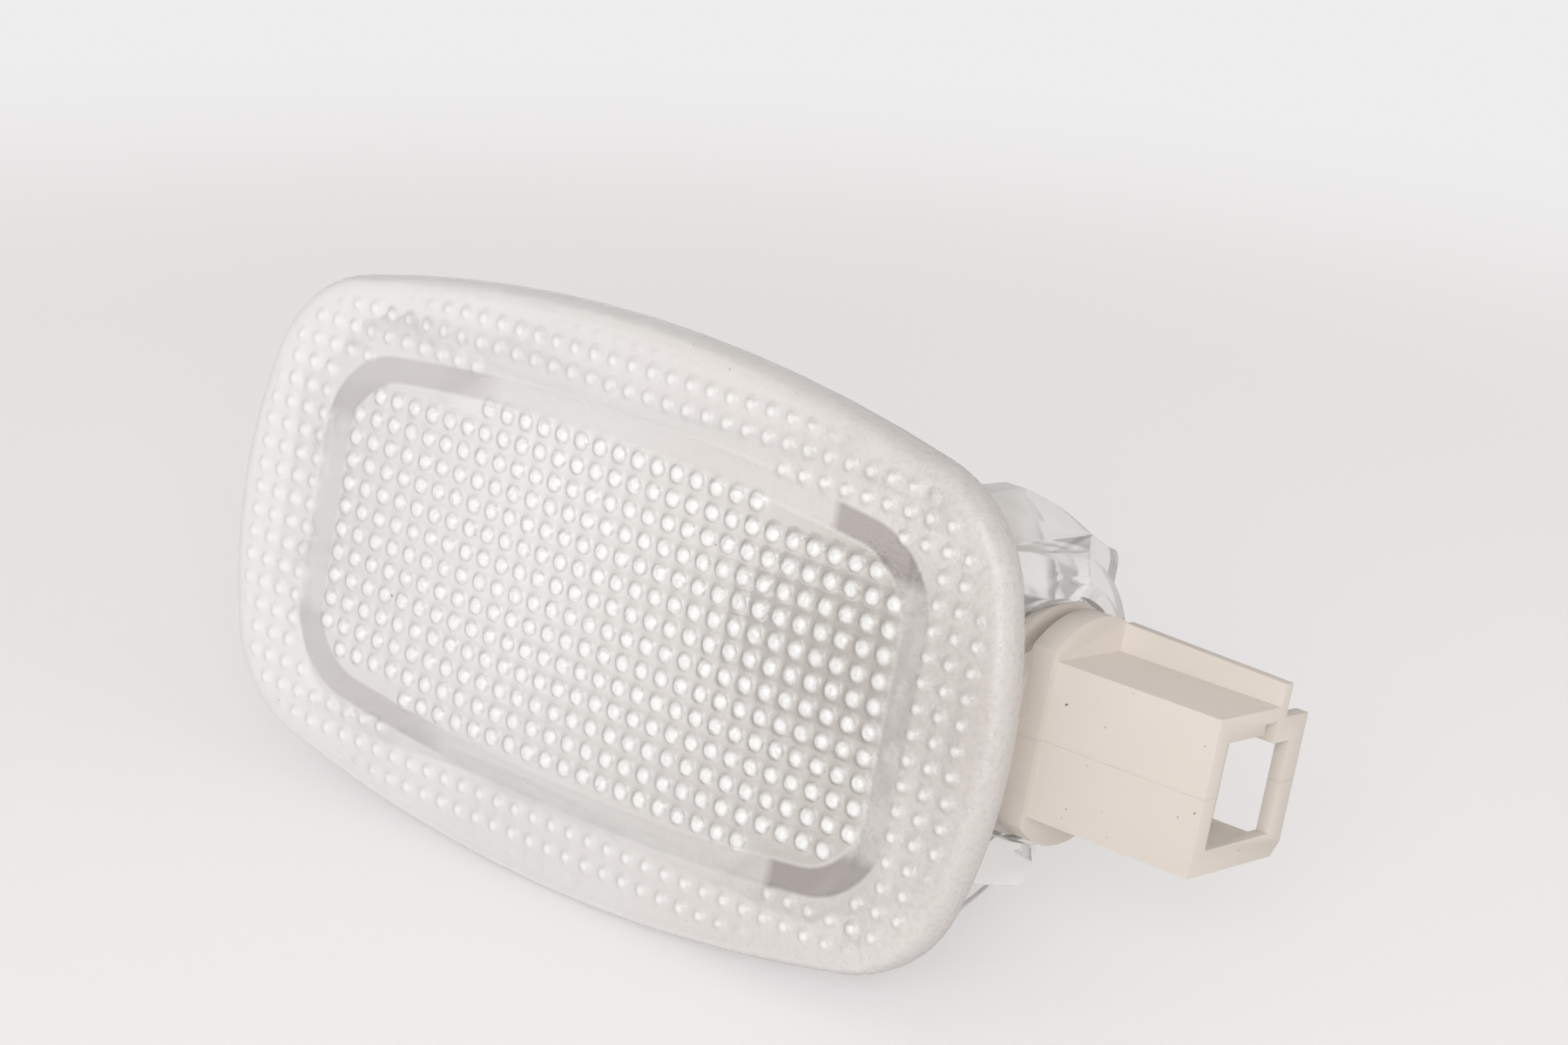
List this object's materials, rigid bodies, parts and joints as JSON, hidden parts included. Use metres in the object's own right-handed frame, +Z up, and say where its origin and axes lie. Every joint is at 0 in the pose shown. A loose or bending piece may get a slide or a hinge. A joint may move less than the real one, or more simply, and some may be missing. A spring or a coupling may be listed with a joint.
{
  "type": "car glovebox light",
  "caption": "Clear snap-in lens with a dotted window and bowed flange, a twist-lock grey bulb holder with a plug socket in its end wall, and a wedge-base bulb.",
  "frame": {"origin": "centre of the flange's rear seating face, which is also the inner face of the window", "axes": "-Y is the way the lens faces, +X runs along the flange to the connector, +Z up"},
  "size_m": [0.0861, 0.0267, 0.0444],
  "materials": {
    "clear_plastic": "clear, lightly frosted",
    "grey_plastic": "satin moulded",
    "tinned_brass": "tinned",
    "bulb_glass": "clear",
    "wire": "drawn"
  },
  "bodies": {
    "lamp": {"lens": "clear_plastic"},
    "holder": {"bulb_holder": "grey_plastic", "contact_upper": "tinned_brass", "contact_lower": "tinned_brass", "bulb_glass": "bulb_glass", "filament": "wire", "lead_upper": "wire", "lead_lower": "wire"}
  },
  "joints": [
    {"name": "holder_twist", "type": "hinge", "parent": "lamp", "child": "holder", "pos_m": [0.031, 0.0125, 0], "axis": [1, 0, 0], "range_deg": [0, 60]}
  ]
}
